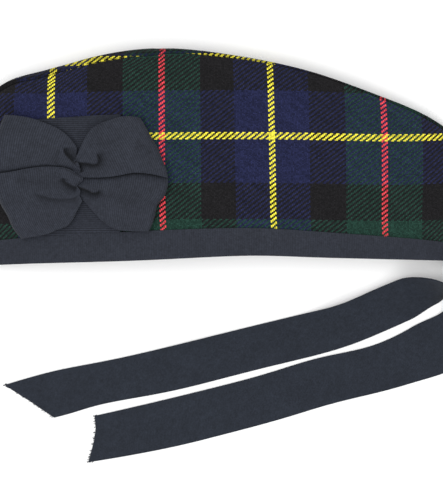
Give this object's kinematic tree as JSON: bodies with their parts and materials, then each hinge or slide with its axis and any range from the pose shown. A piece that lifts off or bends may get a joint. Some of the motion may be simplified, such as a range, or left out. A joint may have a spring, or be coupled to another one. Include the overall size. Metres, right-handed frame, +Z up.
{
  "type": "tartan glengarry cap",
  "caption": "Soft boat-shaped tartan cap lying flat on its side, with a ribbon-bound rim, a ribbon bow on a patch near the front, a folded-in crown and two loose ribbon tails.",
  "frame": {"origin": "middle of the right side's flat face, on which the cap lies", "axes": "+X from the cap's front to its back, +Y from its rim to its crown, +Z up from the surface it lies on, out of its left side"},
  "size_m": [0.3034, 0.2423, 0.0408],
  "materials": {
    "tartan": "twill-woven wool, green, navy and black with fine red and yellow lines",
    "grosgrain": "charcoal grosgrain ribbon with fine cross ribs",
    "bow_ribbon": "charcoal grosgrain ribbon with a soft sheen"
  },
  "bodies": {
    "root": {"side_panel_left": "tartan", "side_panel_right": "tartan", "crown": "tartan", "binding": "grosgrain", "cockade_patch": "grosgrain", "bow_lobe_front_upper": "bow_ribbon", "bow_lobe_front_lower": "bow_ribbon", "bow_lobe_back_upper": "bow_ribbon", "bow_lobe_back_lower": "bow_ribbon", "bow_knot": "bow_ribbon", "ribbon_tail_upper": "grosgrain", "ribbon_tail_lower": "grosgrain"}
  },
  "joints": []
}
